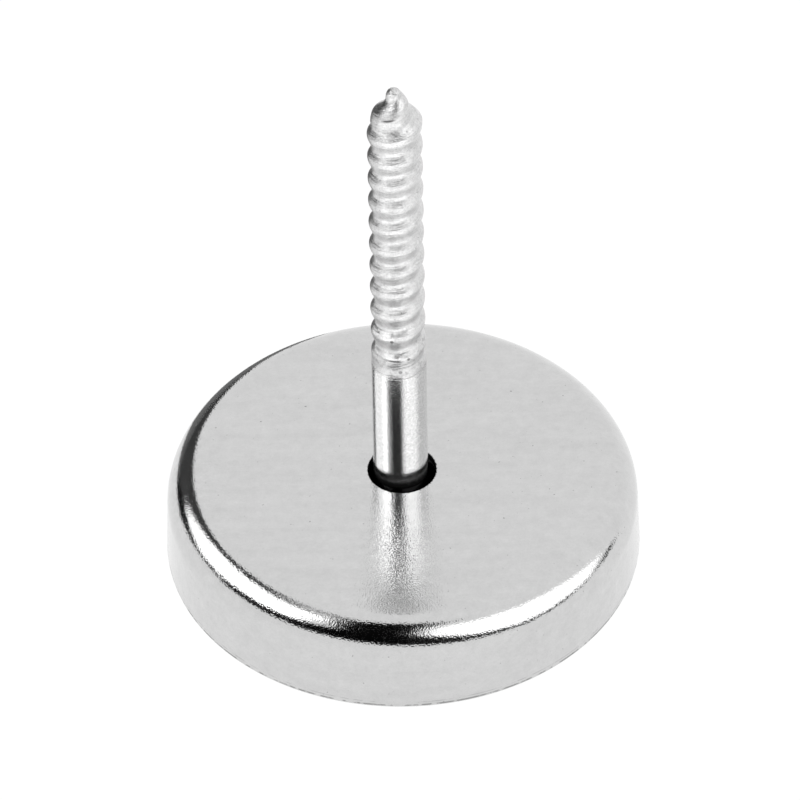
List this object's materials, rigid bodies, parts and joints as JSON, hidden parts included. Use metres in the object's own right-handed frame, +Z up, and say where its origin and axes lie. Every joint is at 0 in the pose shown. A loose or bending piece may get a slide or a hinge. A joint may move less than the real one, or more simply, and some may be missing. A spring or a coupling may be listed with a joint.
{
  "type": "pot magnet with wood screw",
  "caption": "Round drawn-steel pot magnet resting on its holding face, with a coarse-threaded countersunk wood screw standing up through the centre of its back.",
  "frame": {"origin": "centre of the pot's open rim, which is the holding face", "axes": "+Z up the pot's axis, out of the closed back and along the screw to its tip; +X to the right and -Y towards a viewer at the front"},
  "size_m": [0.05, 0.05, 0.0633],
  "materials": {
    "plated_pot": "satin nickel plate over drawn steel",
    "ferrite": "ground dark grey ferrite",
    "resin": "matte black casting resin",
    "plated_screw": "bright zinc plate over rolled steel"
  },
  "bodies": {
    "root": {"steel_cup": "plated_pot", "ring_magnet": "ferrite", "resin_ring": "resin", "wood_screw": "plated_screw"}
  },
  "joints": []
}
